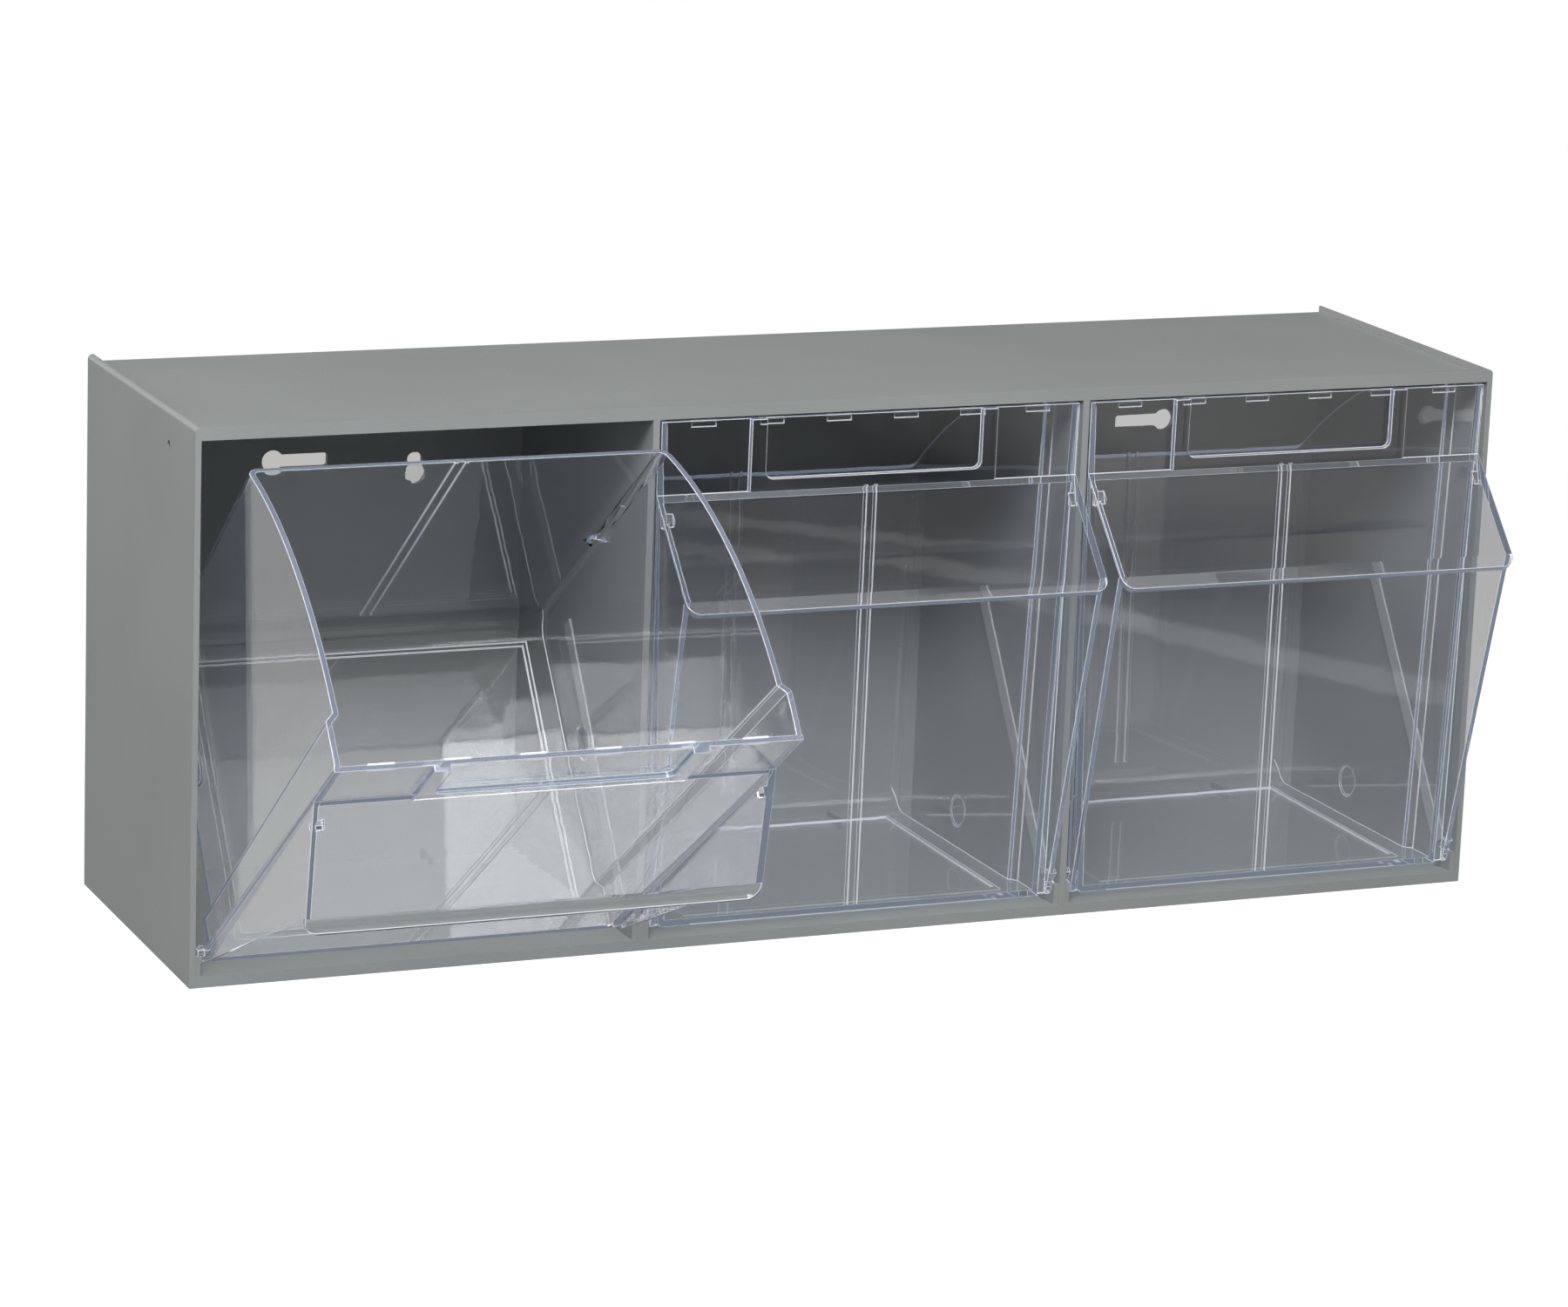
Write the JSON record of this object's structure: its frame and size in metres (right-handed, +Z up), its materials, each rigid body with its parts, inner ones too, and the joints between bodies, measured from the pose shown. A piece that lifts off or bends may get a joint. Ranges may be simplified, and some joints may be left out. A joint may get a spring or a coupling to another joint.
{
  "type": "tip-out bin",
  "caption": "Low grey moulded cabinet with a row of clear plastic bins that tip forward on moulded pins, each with a label frame and a sloping pull hood.",
  "frame": {"origin": "Centre of the cabinet's flat underside, which is the face it stands on.", "axes": "+X runs along the row of bins to the right as seen from the front, +Y runs from the bins' front to the cabinet's back, and +Z is up."},
  "size_m": [0.6, 0.3354, 0.237],
  "materials": {
    "grey_moulding": "fine moulded texture",
    "clear_moulding": "clear and glossy"
  },
  "bodies": {
    "cabinet": {"cabinet_side_left": "grey_moulding", "cabinet_side_right": "grey_moulding", "cabinet_divider_left": "grey_moulding", "cabinet_divider_right": "grey_moulding", "cabinet_top": "grey_moulding", "cabinet_floor": "grey_moulding", "cabinet_back": "grey_moulding"},
    "bin_left": {"bin_left": "clear_moulding"},
    "bin_middle": {"bin_middle": "clear_moulding"},
    "bin_right": {"bin_right": "clear_moulding"}
  },
  "joints": [
    {"name": "left_bin_tip", "type": "hinge", "parent": "cabinet", "child": "bin_left", "pos_m": [-0.19933, -0.0758, 0.012], "axis": [1, 0, 0], "range_deg": [-53.8, 0]},
    {"name": "middle_bin_tip", "type": "hinge", "parent": "cabinet", "child": "bin_middle", "pos_m": [0, -0.0758, 0.012], "axis": [1, 0, 0], "range_deg": [0, 53.8]},
    {"name": "right_bin_tip", "type": "hinge", "parent": "cabinet", "child": "bin_right", "pos_m": [0.19933, -0.0758, 0.012], "axis": [1, 0, 0], "range_deg": [0, 53.8]}
  ]
}
